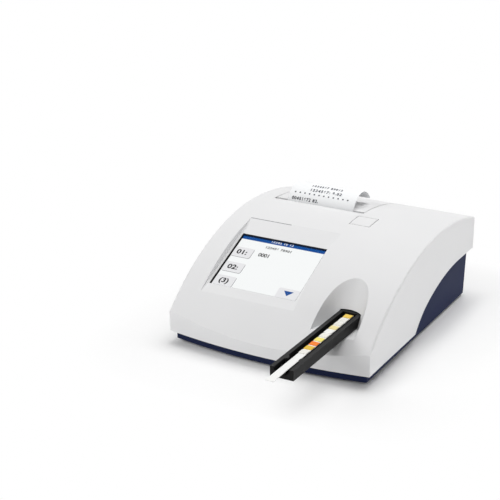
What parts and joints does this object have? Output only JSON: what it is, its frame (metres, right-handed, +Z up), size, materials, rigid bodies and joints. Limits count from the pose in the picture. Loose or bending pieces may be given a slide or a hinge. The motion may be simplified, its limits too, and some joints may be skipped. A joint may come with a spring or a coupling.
{
  "type": "urine analyzer",
  "caption": "Bench-top urine analyzer: arched housing, tilted touch screen, sliding strip tray with test strip, hinged printer lid and curled printout.",
  "frame": {"origin": "on the table under the middle of the whole outline, from the strip's tip to the rear wall", "axes": "+X to the user's right, +Y to the rear, +Z up"},
  "size_m": [0.16, 0.2774, 0.0852],
  "materials": {
    "shell_white": "fine moulded texture",
    "base_navy": "fine moulded texture",
    "rubber_grey": "matt",
    "steel": "zinc plated",
    "motor_can": "satin",
    "cell_wrap": "printed film",
    "glass": "clear",
    "gasket": "foam",
    "screen": "lit display",
    "board_green": "solder mask",
    "black_part": "moulded",
    "tray_black": "satin",
    "gear_white": "natural acetal",
    "tile_white": "glazed",
    "strip_white": "polyester film",
    "pads": "filter paper pads in several colours",
    "frame_grey": "moulded",
    "platen_rubber": "ground rubber",
    "paper": "thermal paper",
    "core_card": "card"
  },
  "bodies": {
    "housing": {"upper_shell": "shell_white", "base_tray": "base_navy", "feet": "rubber_grey", "housing_screws": "steel", "aa_cells": "cell_wrap", "battery_contacts": "steel", "touch_glass": "glass", "display_gasket": "gasket", "lcd_module": "screen", "display_bracket": "motor_can", "display_screws": "steel", "main_board": "board_green", "board_components": "black_part", "board_screws": "steel", "power_jack": "black_part", "keyboard_port": "black_part", "serial_connector": "steel", "jackscrews": "steel", "tray_guide": "frame_grey", "guide_screws": "steel", "tray_motor": "motor_can", "optics_head": "black_part", "optics_lens": "glass", "led_board": "board_green", "photodiode": "black_part", "lid_hinge_rod": "steel", "idler_pin": "steel", "printer_motor": "motor_can", "printer_chassis": "frame_grey", "chassis_screws": "steel", "print_head": "black_part", "head_springs": "steel", "tear_bar": "steel", "paper_web": "paper", "button_spring": "steel", "latch_bracket": "frame_grey", "latch_pin": "steel"},
    "battery_door": {"battery_door": "base_navy"},
    "tray": {"strip_tray": "tray_black", "tray_rack": "gear_white", "reference_tile": "tile_white"},
    "strip": {"test_strip": "strip_white", "reagent_pads": "pads"},
    "tray_gear": {"tray_pinion": "gear_white", "reduction_wheel": "gear_white", "pinion_shaft": "steel"},
    "motor_gear": {"motor_pinion": "gear_white"},
    "lid": {"printer_lid": "shell_white", "printed_paper": "paper"},
    "platen": {"platen_roller": "platen_rubber", "platen_gear": "gear_white"},
    "idler": {"idler_gear": "gear_white"},
    "printer_gear": {"printer_pinion": "gear_white"},
    "roll": {"paper_roll": "paper", "paper_core": "core_card"},
    "button": {"release_button": "shell_white"},
    "lever": {"latch_lever": "frame_grey"}
  },
  "joints": [
    {"name": "tray_slide", "type": "slide", "parent": "housing", "child": "tray", "axis": [0, 1, 0], "range_m": [0, 0.064]},
    {"name": "strip_slide", "type": "slide", "parent": "tray", "child": "strip", "axis": [0, -1, 0], "range_m": [0, 0.1]},
    {"name": "tray_gear_spin", "type": "hinge", "parent": "housing", "child": "tray_gear", "pos_m": [0.0502, 0.0503, 0.0257], "axis": [1, 0, 0], "range_deg": [-574, 0]},
    {"name": "motor_gear_spin", "type": "hinge", "parent": "housing", "child": "motor_gear", "pos_m": [0.0354, 0.0383, 0.0257], "axis": [1, 0, 0], "range_deg": [0, 1721]},
    {"name": "lid_hinge", "type": "hinge", "parent": "housing", "child": "lid", "pos_m": [-0.0257, 0.1337, 0.06098], "axis": [-1, 0, 0], "range_deg": [0, 80]},
    {"name": "roll_spin", "type": "hinge", "parent": "housing", "child": "roll", "pos_m": [-0.0257, 0.1063, 0.04628], "axis": [1, 0, 0], "continuous": true},
    {"name": "platen_spin", "type": "hinge", "parent": "lid", "child": "platen", "pos_m": [-0.0257, 0.0818, 0.06611], "axis": [1, 0, 0], "continuous": true},
    {"name": "idler_spin", "type": "hinge", "parent": "housing", "child": "idler", "pos_m": [0.0068, 0.08062, 0.05417], "axis": [1, 0, 0], "continuous": true},
    {"name": "printer_gear_spin", "type": "hinge", "parent": "housing", "child": "printer_gear", "pos_m": [0.0068, 0.08249, 0.04354], "axis": [1, 0, 0], "continuous": true},
    {"name": "button_press", "type": "slide", "parent": "housing", "child": "button", "axis": [0, 0, -1], "range_m": [0, 0.0018], "stiffness_N_per_m": 300, "springref_m": -0.001, "deforming": ["button_spring"]},
    {"name": "lever_rock", "type": "hinge", "parent": "housing", "child": "lever", "pos_m": [0.0202, 0.0683, 0.06299], "axis": [1, 0, 0], "range_deg": [0, 13.72]},
    {"name": "battery_door_slide", "type": "slide", "parent": "housing", "child": "battery_door", "axis": [-1, 0, 0], "range_m": [0, 0.008]}
  ],
  "couplings": [
    {"joint": "tray_gear_spin", "follows": "tray_slide", "rad_per_m": -156.25},
    {"joint": "motor_gear_spin", "follows": "tray_slide", "rad_per_m": 468.75},
    {"joint": "platen_spin", "follows": "roll_spin", "ratio": 4},
    {"joint": "idler_spin", "follows": "roll_spin", "ratio": -2.6667},
    {"joint": "printer_gear_spin", "follows": "roll_spin", "ratio": 5.3333},
    {"joint": "lever_rock", "follows": "button_press", "rad_per_m": 128.21}
  ]
}
